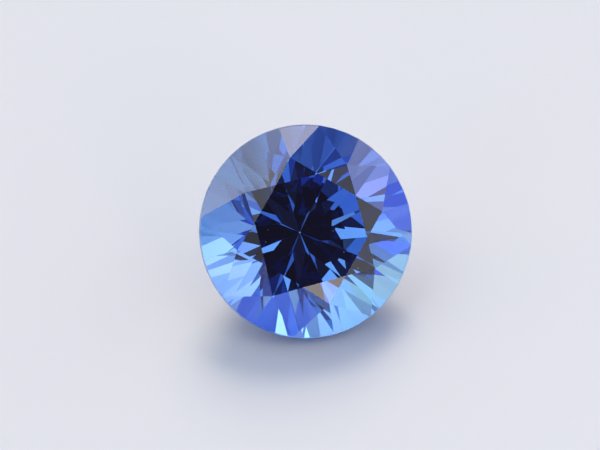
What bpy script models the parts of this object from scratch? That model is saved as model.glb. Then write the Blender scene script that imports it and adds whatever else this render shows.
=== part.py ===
"""A round brilliant blue sapphire, lying as it comes to rest, on one facet of its pavilion.

The stone is one solid. It is made as a lapidary makes it: a round preform is turned to the
girdle's diameter, and then each tier of facets is ground flat at its own slope, all round.
Lengths are in metres and angles in degrees.
"""

import math

import bmesh
import bpy
from mathutils import Matrix, Vector

GIRDLE_DIAMETER = 0.0070
GIRDLE_HEIGHT = 0.00037  # where the bezels and the mains meet it, its thickest places
GIRDLE_SIDES = 48
FOLD = 8  # the cut repeats eight times round the axis

CROWN_SLOPE = 35.1  # of the bezel facets, from the girdle's plane
TABLE_SHARE = 0.533  # across the table's corners, of the diameter
STAR_TIP_SHARE = 0.706  # how far out the star facets' tips lie, of the radius

PAVILION_SLOPE = 44.15  # of the pavilion mains
LOWER_TIP_SHARE = 0.20  # how near the axis the lower halves reach, of the radius
CULET_SHARE = 0.008  # the small flat at the point, of the diameter
TWIST = 6.4  # how far round from the crown hand cutting left the pavilion

RADIUS = GIRDLE_DIAMETER / 2
STEP = math.radians(360 / FOLD)
HALF_STEP = STEP / 2
QUARTER_STEP = STEP / 4
PAVILION_TURN = math.radians(TWIST)
UP = Vector((0, 0, 1))
WELD = 1e-8  # a facet that meets a point this near goes exactly through it

SAPPHIRE_BLUE = (0.05, 0.12, 0.62, 1)
SAPPHIRE_IOR = 1.77


def clear_scene():
    for old in list(bpy.data.objects):
        bpy.data.objects.remove(old, do_unlink=True)


def outward(azimuth, slope, side):
    """The normal of a facet: side is 1 on the crown and -1 on the pavilion."""
    flat = math.sin(slope)
    return Vector((flat * math.cos(azimuth), flat * math.sin(azimuth), side * math.cos(slope)))


def grind(stone, normal, point):
    """Grinds away everything beyond the plane, and closes the cut with one flat facet."""
    parts = stone.verts[:] + stone.edges[:] + stone.faces[:]
    bmesh.ops.bisect_plane(
        stone, geom=parts, dist=WELD, plane_co=point, plane_no=normal, clear_outer=True
    )
    rim = [edge for edge in stone.edges if edge.is_boundary]
    bmesh.ops.contextual_create(stone, geom=rim)


def grind_tier(stone, azimuths, slope, reach, height, side):
    """One tier: like facets that each pass through the point at reach and height on their azimuth."""
    for azimuth in azimuths:
        point = Vector((reach * math.cos(azimuth), reach * math.sin(azimuth), height))
        grind(stone, outward(azimuth, slope, side), point)


def preform():
    """The round blank: a cylinder with room for the crown above and the pavilion below."""
    stone = bmesh.new()
    bmesh.ops.create_cone(
        stone,
        cap_ends=True,
        segments=GIRDLE_SIDES,
        radius1=RADIUS,
        radius2=RADIUS,
        depth=3 * GIRDLE_DIAMETER,
    )
    return stone


def on_mains(start=0.0):
    return [start + index * STEP for index in range(FOLD)]


def beside_mains(start=0.0):
    return [azimuth + turn for azimuth in on_mains(start) for turn in (-QUARTER_STEP, QUARTER_STEP)]


def cut_crown(stone):
    """Bezels, table, stars and upper halves. The girdle's upper edge is at height 0."""
    bezel_slope = math.radians(CROWN_SLOPE)
    table_reach = RADIUS * TABLE_SHARE
    table_height = (RADIUS - table_reach) * math.tan(bezel_slope)
    table_edge = table_reach * math.cos(HALF_STEP)
    star_tip = RADIUS * STAR_TIP_SHARE
    tip_height = (RADIUS - star_tip * math.cos(HALF_STEP)) * math.tan(bezel_slope)
    star_slope = math.atan2(table_height - tip_height, star_tip - table_edge)
    chord = RADIUS * math.cos(QUARTER_STEP)
    upper_slope = math.atan2(tip_height, chord - star_tip * math.cos(QUARTER_STEP))

    grind_tier(stone, on_mains(), bezel_slope, RADIUS, 0, 1)
    grind(stone, UP, table_height * UP)
    grind_tier(stone, on_mains(HALF_STEP), star_slope, table_edge, table_height, 1)
    grind_tier(stone, beside_mains(), upper_slope, chord, 0, 1)


def lower_half_slope():
    main_slope = math.radians(PAVILION_SLOPE)
    tip = RADIUS * LOWER_TIP_SHARE
    depth = (RADIUS - tip * math.cos(HALF_STEP)) * math.tan(main_slope)
    return math.atan2(depth, (RADIUS - tip) * math.cos(QUARTER_STEP))


def cut_pavilion(stone):
    """Mains down to the culet, and the long lower halves between them."""
    main_slope = math.radians(PAVILION_SLOPE)
    culet_depth = GIRDLE_HEIGHT + RADIUS * (1 - CULET_SHARE) * math.tan(main_slope)
    chord = RADIUS * math.cos(QUARTER_STEP)

    grind_tier(stone, on_mains(PAVILION_TURN), main_slope, RADIUS, -GIRDLE_HEIGHT, -1)
    grind_tier(stone, beside_mains(PAVILION_TURN), lower_half_slope(), chord, -GIRDLE_HEIGHT, -1)
    grind(stone, -UP, -culet_depth * UP)


def lay_down(stone):
    """Turns the stone onto one lower half, with its table leaning towards -Y, and stands it at z = 0."""
    resting = outward(math.pi + PAVILION_TURN + QUARTER_STEP, lower_half_slope(), -1)
    turn = resting.rotation_difference(-UP).to_matrix().to_4x4()
    leaning = turn @ UP
    facing = Matrix.Rotation(-math.pi / 2 - math.atan2(leaning.y, leaning.x), 4, "Z")
    bmesh.ops.transform(stone, matrix=facing @ turn, verts=stone.verts)
    places = [vertex.co for vertex in stone.verts]
    low = Vector(min(place[axis] for place in places) for axis in range(3))
    high = Vector(max(place[axis] for place in places) for axis in range(3))
    foot = Vector(((low.x + high.x) / 2, (low.y + high.y) / 2, low.z))
    bmesh.ops.translate(stone, verts=stone.verts, vec=-foot)


def sapphire_material():
    material = bpy.data.materials.new("blue_sapphire")
    material.use_nodes = True
    shader = material.node_tree.nodes["Principled BSDF"]
    shader.inputs["Base Color"].default_value = SAPPHIRE_BLUE
    shader.inputs["Metallic"].default_value = 0.0
    shader.inputs["Roughness"].default_value = 0.02
    shader.inputs["IOR"].default_value = SAPPHIRE_IOR
    shader.inputs["Transmission Weight"].default_value = 0.9
    return material


def build_sapphire():
    stone = preform()
    cut_crown(stone)
    cut_pavilion(stone)
    lay_down(stone)
    bmesh.ops.recalc_face_normals(stone, faces=stone.faces)
    mesh = bpy.data.meshes.new("sapphire")
    stone.to_mesh(mesh)
    stone.free()
    mesh.shade_smooth()
    mesh.set_sharp_from_angle(angle=math.radians(5))
    mesh.materials.append(sapphire_material())
    gem = bpy.data.objects.new("sapphire", mesh)
    bpy.context.scene.collection.objects.link(gem)


clear_scene()
build_sapphire()
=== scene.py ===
"""A round brilliant blue sapphire lying on a pale glossy board, in soft studio light.

Lengths are in metres. The stone lies as model.glb places it, on one lower half facet, and its
table leans back and faces the camera.
"""
import math

import bmesh
import bpy
from mathutils import Matrix, Vector


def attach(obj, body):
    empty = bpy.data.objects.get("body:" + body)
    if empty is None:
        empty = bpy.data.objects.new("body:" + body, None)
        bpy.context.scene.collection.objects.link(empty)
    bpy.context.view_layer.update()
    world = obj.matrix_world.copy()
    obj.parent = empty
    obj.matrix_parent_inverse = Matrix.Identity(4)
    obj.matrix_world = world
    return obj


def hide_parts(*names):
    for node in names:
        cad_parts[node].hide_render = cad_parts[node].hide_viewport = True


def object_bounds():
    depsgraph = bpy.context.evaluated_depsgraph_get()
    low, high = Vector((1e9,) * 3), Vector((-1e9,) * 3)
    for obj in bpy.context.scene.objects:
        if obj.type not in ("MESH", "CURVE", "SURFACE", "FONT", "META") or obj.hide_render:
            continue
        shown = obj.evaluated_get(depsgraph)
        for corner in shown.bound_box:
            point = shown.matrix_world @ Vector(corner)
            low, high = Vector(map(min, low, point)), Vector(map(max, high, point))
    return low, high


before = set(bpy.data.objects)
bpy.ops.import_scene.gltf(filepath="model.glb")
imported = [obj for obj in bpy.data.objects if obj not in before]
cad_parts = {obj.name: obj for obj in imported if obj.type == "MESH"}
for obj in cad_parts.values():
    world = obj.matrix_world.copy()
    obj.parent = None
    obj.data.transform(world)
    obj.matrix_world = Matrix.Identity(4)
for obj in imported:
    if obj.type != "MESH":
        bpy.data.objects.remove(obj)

cut_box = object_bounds()
scene = bpy.context.scene

# Camera
# It stands in front of the stone, a little to its left, and looks down almost square to the
# table. A long lens, forty stone widths away, keeps the round girdle round.

UP = Vector((0, 0, 1))
CAMERA_SIDE = -10.85  # degrees round from -Y
CAMERA_ELEVATION = 44.2  # degrees
CAMERA_ROLL = -2.6  # degrees, clockwise
CAMERA_DISTANCE = 0.28
PHOTO_WIDTH = 600  # pixels
GIRDLE_ACROSS = 213.6  # pixels, of the stone's girdle in the photograph
SENSOR_WIDTH = 36.0  # millimetres
AIM_RIGHT = -0.00018  # from the middle of the stone's box to the middle of the picture
AIM_UP = 0.00020


def from_camera_side(azimuth, elevation):
    """A direction: azimuth in degrees from the camera's side round to its right."""
    turn = math.radians(azimuth + CAMERA_SIDE)
    rise = math.radians(elevation)
    flat = math.cos(rise)
    return Vector((math.sin(turn) * flat, -math.cos(turn) * flat, math.sin(rise)))


low, high = (Vector(corner) for corner in cut_box)
stone_across = high.x - low.x
view_width = stone_across * PHOTO_WIDTH / GIRDLE_ACROSS
backward = from_camera_side(0, CAMERA_ELEVATION)
level = UP.cross(backward).normalized()
roll = Matrix.Rotation(math.radians(CAMERA_ROLL), 3, backward)
rightward = roll @ level
upward = backward.cross(rightward)
aim = (low + high) / 2 + rightward * AIM_RIGHT + upward * AIM_UP

camera_data = bpy.data.cameras.new("camera")
camera_data.sensor_width = SENSOR_WIDTH
camera_data.lens = SENSOR_WIDTH * CAMERA_DISTANCE / view_width
camera_data.clip_start = 0.01
camera = bpy.data.objects.new("camera", camera_data)
scene.collection.objects.link(camera)
turned = Matrix((rightward, upward, backward)).transposed().to_4x4()
camera.matrix_world = Matrix.Translation(aim + backward * CAMERA_DISTANCE) @ turned
scene.camera = camera

# The sapphire
# One crystal of corundum, cut as a round brilliant and polished to sharp facet edges. Only the
# girdle is left finely ground, so it looks frosted.

MERGE = 1e-6
SAME_FACET = math.radians(0.5)
SQUARE_TO_AXIS = 0.01  # the cosine under which a face belongs to the girdle
CRYSTAL_IOR = 1.765
POLISH = 0.0  # roughness of the facets
GIRDLE_ROUGHNESS = 0.3
GIRDLE_STARTS = (0.990, 0.996)  # shares of the radius
ABSORBED = (320.0, 185.0, 45.0)  # of red, green and blue, for each metre of the crystal
DENSITY_ROOM = 1.01  # keeps the most absorbed colour just above black
CLEAR_BLUE = (0.96, 0.99, 1.0, 1)
# The violet and teal ends are painted coloured light: they stand in for coloured light seen in
# the crown, not for colour in the crystal.
VIOLET_LIGHT_PAINTED = (0.96, 0.62, 0.92, 1)
VIOLET_SIDE = 54  # degrees up from the picture's right, as the camera sees the stone
VIOLET_FADE = (-0.1, 0.8)  # shares of the radius
VIOLET_DRIFT = 0.3
TEAL_LIGHT_PAINTED = (0.80, 1.0, 0.90, 1)
TEAL_SIDE = -40
TEAL_FADE = (0.1, 0.7)  # the share of the radius, squared
TEAL_DRIFT = 0.2
DRIFT_SCALE = 300.0


class Wire:
    """A value on its way through a shader, so that shader maths reads as plain arithmetic."""

    def __init__(self, tree, socket=None):
        self.tree = tree
        self.socket = socket

    def node(self, kind, settings, values, output=0):
        made = self.tree.nodes.new(kind)
        for name, value in settings.items():
            setattr(made, name, value)
        for place, value in values.items():
            if isinstance(value, Wire):
                self.tree.links.new(value.socket, made.inputs[place])
            else:
                made.inputs[place].default_value = value
        return Wire(self.tree, made.outputs[output])

    def maths(self, operation, first, second):
        return self.node("ShaderNodeMath", {"operation": operation}, {0: first, 1: second})

    def __add__(self, other):
        return self.maths("ADD", self, other)

    def __sub__(self, other):
        return self.maths("SUBTRACT", self, other)

    def __rsub__(self, other):
        return self.maths("SUBTRACT", other, self)

    def __mul__(self, other):
        return self.maths("MULTIPLY", self, other)

    __radd__ = __add__
    __rmul__ = __mul__


def fade(wire, start, end):
    """0 before start and 1 after end, with a smooth change between."""
    return wire.node(
        "ShaderNodeMapRange",
        {"interpolation_type": "SMOOTHSTEP"},
        {"Value": wire, "From Min": start, "From Max": end},
        "Result",
    )


def mix_colours(share, first, second):
    return share.node(
        "ShaderNodeMix",
        {"data_type": "RGBA"},
        {"Factor": share, 6: first, 7: second},
        2,
    )


def along(place, direction):
    return place.node(
        "ShaderNodeVectorMath", {"operation": "DOT_PRODUCT"}, {0: place, 1: direction}, "Value"
    )


def polished_stone():
    """The cut stone's own mesh, with each facet one face."""
    stone = bmesh.new()
    stone.from_mesh(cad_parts["sapphire"].data)
    bmesh.ops.remove_doubles(stone, verts=stone.verts, dist=MERGE)
    bmesh.ops.dissolve_limit(stone, angle_limit=SAME_FACET, verts=stone.verts, edges=stone.edges)
    return stone


stone = polished_stone()
table = max(stone.faces, key=lambda face: face.calc_area())
axis = table.normal.copy()
table_centre = table.calc_center_median()
for face in stone.faces:
    face.smooth = abs(face.normal.dot(axis)) < SQUARE_TO_AXIS
rim = [face for face in stone.faces if face.smooth]
rim_area = sum(face.calc_area() for face in rim)
middle = sum((face.calc_center_median() * face.calc_area() for face in rim), Vector()) / rim_area
stone_radius = stone_across / 2
stone_mesh = bpy.data.meshes.new("cut_stone")
stone.to_mesh(stone_mesh)
stone.free()
cut_stone = bpy.data.objects.new("cut_stone", stone_mesh)
scene.collection.objects.link(cut_stone)


def across_picture(degrees):
    """A direction in the picture's plane, scaled so that the stone's rim lies at 1."""
    angle = math.radians(degrees)
    return (rightward * math.cos(angle) + upward * math.sin(angle)) / stone_radius


def sapphire_material():
    material = bpy.data.materials.new("blue_corundum")
    material.use_nodes = True
    tree = material.node_tree
    shader = tree.nodes["Principled BSDF"]
    shader.inputs["IOR"].default_value = CRYSTAL_IOR
    shader.inputs["Transmission Weight"].default_value = 1.0
    density = max(ABSORBED) * DENSITY_ROOM
    colour = [1 - part / density for part in ABSORBED]
    body = tree.nodes.new("ShaderNodeVolumeAbsorption")
    body.inputs["Color"].default_value = (*colour, 1)
    body.inputs["Density"].default_value = density
    tree.links.new(body.outputs["Volume"], tree.nodes["Material Output"].inputs["Volume"])

    place = Wire(tree).node("ShaderNodeTexCoord", {}, {}, "Object")
    offset = place.node("ShaderNodeVectorMath", {"operation": "SUBTRACT"}, {0: place, 1: middle})
    lift = along(offset, axis)
    on_axis = offset.node(
        "ShaderNodeVectorMath", {"operation": "SCALE"}, {0: Vector(axis), "Scale": lift}
    )
    away = offset.node(
        "ShaderNodeVectorMath", {"operation": "DISTANCE"}, {0: offset, 1: on_axis}, "Value"
    )
    ground = fade(away, *(share * stone_radius for share in GIRDLE_STARTS))
    roughness = ground * (GIRDLE_ROUGHNESS - POLISH) + POLISH
    tree.links.new(roughness.socket, shader.inputs["Roughness"])

    # Known fault: this noise has no Vector, so it reads Generated coordinates. Its cells are
    # about 0.02 mm across, not the 3 mm meant. "Vector": place would link it.
    drift = place.node("ShaderNodeTexNoise", {}, {"Scale": DRIFT_SCALE, "Detail": 1.0}) - 0.5
    # Painted coloured light: a violet zone towards the picture's upper right and teal zones
    # towards its lower right and upper left, placed as the camera sees the stone, over the
    # crystal's own clear blue.
    to_violet = along(offset, across_picture(VIOLET_SIDE))
    painted_violet_light = fade(to_violet + drift * VIOLET_DRIFT, *VIOLET_FADE)
    to_teal = along(offset, across_picture(TEAL_SIDE))
    painted_teal_light = fade(to_teal * to_teal + drift * TEAL_DRIFT, *TEAL_FADE)
    tint = mix_colours(painted_violet_light, CLEAR_BLUE, VIOLET_LIGHT_PAINTED)
    tint = mix_colours(painted_teal_light, tint, TEAL_LIGHT_PAINTED)
    tree.links.new(tint.socket, shader.inputs["Base Color"])
    return material


stone_mesh.materials.append(sapphire_material())
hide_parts("sapphire")
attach(cut_stone, "root")

# Inclusions
# Pinpoint crystals of a paler mineral that the sapphire grew round. They are sealed in its
# crown, in one layer a little below the table's plane, and show as single specks.

MILLIMETRE = 0.001
SPECK_DEPTH = 0.00028  # below the table's plane
SPECK_LENGTHS = Vector((1.0, 0.7, 0.6))  # shares of the width
SPECKS = (  # right of and above the picture's middle, and the width, in millimetres
    (-1.06, -0.16, 0.040),
    (1.07, -0.20, 0.036),
    (1.42, -0.89, 0.040),
    (1.86, -1.40, 0.060),
    (-1.44, -0.98, 0.036),
    (-1.13, -0.56, 0.030),
)
SPECK_PALE = (0.85, 0.82, 0.86, 1)
SPECK_RUSTY = (0.55, 0.38, 0.40, 1)
SPECK_ROUGHNESS = 0.35
MOTTLE_SCALE = 20000.0
MOTTLE_FADE = (0.45, 0.65)

specks = bmesh.new()
eye = camera.matrix_world.translation
layer = table_centre - axis * SPECK_DEPTH
for number, (right, up, width) in enumerate(SPECKS):
    seen_at = aim + (rightward * right + upward * up) * MILLIMETRE
    sight = (seen_at - eye).normalized()
    place = eye + sight * ((layer - eye).dot(axis) / sight.dot(axis))
    size = Matrix.Diagonal(SPECK_LENGTHS * width * MILLIMETRE).to_4x4()
    tilt = Matrix.Rotation(number, 4, "Z") @ Matrix.Rotation(2 * number, 4, "X")
    grain = Matrix.Translation(place) @ tilt @ size
    bmesh.ops.create_icosphere(specks, subdivisions=1, radius=0.5, matrix=grain)
specks_mesh = bpy.data.meshes.new("pinpoint_crystals")
specks.to_mesh(specks_mesh)
specks.free()
pinpoints = bpy.data.objects.new("pinpoint_crystals", specks_mesh)
scene.collection.objects.link(pinpoints)


def pinpoint_material():
    material = bpy.data.materials.new("pale_mineral")
    material.use_nodes = True
    tree = material.node_tree
    shader = tree.nodes["Principled BSDF"]
    shader.inputs["Roughness"].default_value = SPECK_ROUGHNESS
    place = Wire(tree).node("ShaderNodeTexCoord", {}, {}, "Object")
    mottle = place.node("ShaderNodeTexNoise", {}, {"Vector": place, "Scale": MOTTLE_SCALE})
    stain = fade(mottle, *MOTTLE_FADE)
    colour = mix_colours(stain, SPECK_PALE, SPECK_RUSTY)
    tree.links.new(colour.socket, shader.inputs["Base Color"])
    return material


specks_mesh.materials.append(pinpoint_material())
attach(pinpoints, "root")

# Board
# A pale, smooth board with a satin gloss. It lies a hair's breadth under the stone's resting
# facet, so that no two faces share a plane.

BOARD_SIZE = 2.0
BOARD_DROP = 0.00002
BOARD_COLOUR = (0.535, 0.60, 0.71, 1)
BOARD_ROUGHNESS = 0.2

board = bmesh.new()
bmesh.ops.create_grid(board, x_segments=1, y_segments=1, size=BOARD_SIZE / 2)
bmesh.ops.translate(board, verts=board.verts, vec=(0, 0, -BOARD_DROP))
board_mesh = bpy.data.meshes.new("board")
board.to_mesh(board_mesh)
board.free()
board_object = bpy.data.objects.new("board", board_mesh)
scene.collection.objects.link(board_object)
board_finish = bpy.data.materials.new("satin_board")
board_finish.use_nodes = True
satin = board_finish.node_tree.nodes["Principled BSDF"]
satin.inputs["Base Color"].default_value = BOARD_COLOUR
satin.inputs["Roughness"].default_value = BOARD_ROUGHNESS
board_mesh.materials.append(board_finish)

# Light
# A white tent of cards, with bright banks to the right, to the left and high behind the stone.
# It is dark on the camera's side, and darkest round the lens. A broad warm lamp behind the
# stone throws its soft shadow on the board.

TENT_WHITE = (0.93, 0.95, 1.02, 1)
LAMP_DIRECTION = (172, 43)  # azimuth and elevation
LAMP_SPREAD = 30  # degrees across
LAMP_STRENGTH = 2.3
LAMP_COLOUR = (1.0, 0.76, 0.47)
BOUNCES_IN_STONE = 32
GLOSSY_BOUNCES = 16
BRIGHTEST_BOUNCE = 3.0
CARDS = (  # azimuth, elevation, angular radius, width of the edge, and the light it gives
    (105, 22, 18, 6, (1.5, 1.5, 1.6, 1)),  # right bank
    (106, 16, 4, 2, (2.3, 2.0, 1.6, 1)),  # its middle lamp
    (107, 4, 6, 2, (2.6, 2.3, 1.7, 1)),  # its lower lamp
    (111, 11, 2, 2, (0.6, 0.6, 0.7, 1)),  # bar between the two
    (118, 33, 6, 2, (2.2, 2.0, 1.6, 1)),  # its upper lamp
    (225, 60, 20, 5, (1.9, 1.9, 1.7, 1)),  # bank high on the left and behind
    (264, 36, 13, 6, (2.1, 1.7, 1.25, 1)),  # left bank
    (266, 44, 4, 2, (1.0, 0.95, 0.85, 1)),  # rail across it
    (276, 50, 7, 4, (0.7, 0.65, 0.6, 1)),  # gap between the two
    (263, 60, 7, 4, (2.0, 2.0, 1.4, 1)),  # lamp over the gap
    (283, 31, 6, 4, (0.35, 0.45, 1.6, 1)),  # blue card beside the banks
    (140, 43, 14, 4, (0.18, 0.34, 0.95, 1)),  # blue card behind, on the right
    (134, 29, 6, 3, (0.1, 0.25, 0.85, 1)),  # its lower end
    (110, 60, 11, 5, (0.05, 0.06, 0.25, 1)),  # its dark upper end
    (176, 64, 9, 4, (0.3, 0.42, 1.0, 1)),  # blue card above it
    (169, 51, 5, 2, (3.8, 3.8, 4.2, 1)),  # key, high behind
    (295, 10, 13, 5, (0.1, 0.27, 1.0, 1)),  # blue card on the left
    (321, 0, 6, 4, (0.15, 0.15, 0.6, 1)),  # its dark lower end
    (340, 82, 14, 6, (0.12, 0.12, 0.3, 1)),  # dark card overhead
    (5, 26, 33, 6, (0.08, 0.06, 0.07, 1)),  # dark card in front
    (333, 19, 11, 5, (0.8, 0.55, 0.5, 1)),  # warm card on its left
    (340, 24, 4, 2, (2.4, 2.1, 1.5, 1)),  # small lamp on that
    (22, 2, 5, 2, (3.2, 2.8, 2.7, 1)),  # low lamp on the right
    (307, 22, 6, 4, (1.8, 2.0, 2.3, 1)),  # lamp beside the warm card
    (314, 10, 4, 3, (2.0, 1.5, 1.7, 1)),  # its lower end
    (316, 41, 9, 5, (0.13, 0.2, 0.4, 1)),  # dark blue card above the lamp
    (27, 28, 11, 3, (3.6, 2.8, 1.9, 1)),  # warm lamp box, right of the camera
    (355, 46, 22.5, 2, (0.02, 0.02, 0.02, 1)),  # black card round the lens
    (22, 44, 6, 3, (0.08, 0.05, 0.05, 1)),  # black card beside it
)

world = bpy.data.worlds.new("tent")
scene.world = world
world.use_nodes = True
sky = Wire(world.node_tree).node("ShaderNodeTexCoord", {}, {}, "Generated")


def round_patch(azimuth, elevation, radius, edge):
    """A mask over the sky's directions: 1 within a circle round one of them."""
    facing = along(sky, from_camera_side(azimuth, elevation))
    outer, inner = (math.cos(math.radians(radius + side * edge / 2)) for side in (1, -1))
    return fade(facing, outer, inner)


light = TENT_WHITE
for *patch, given in CARDS:
    light = mix_colours(round_patch(*patch), light, given)
background = world.node_tree.nodes["Background"]
world.node_tree.links.new(light.socket, background.inputs["Color"])

lamp_data = bpy.data.lights.new("shadow_lamp", "SUN")
lamp_data.color = LAMP_COLOUR
lamp_data.energy = LAMP_STRENGTH
lamp_data.angle = math.radians(LAMP_SPREAD)
lamp = bpy.data.objects.new("shadow_lamp", lamp_data)
towards_lamp = from_camera_side(*LAMP_DIRECTION)
lamp.matrix_world = towards_lamp.to_track_quat("Z", "Y").to_matrix().to_4x4()
lamp.visible_glossy = False
lamp.visible_transmission = False
scene.collection.objects.link(lamp)

scene.view_settings.view_transform = "Standard"
scene.cycles.sample_clamp_indirect = BRIGHTEST_BOUNCE
scene.cycles.max_bounces = BOUNCES_IN_STONE
scene.cycles.transmission_bounces = BOUNCES_IN_STONE
scene.cycles.glossy_bounces = GLOSSY_BOUNCES
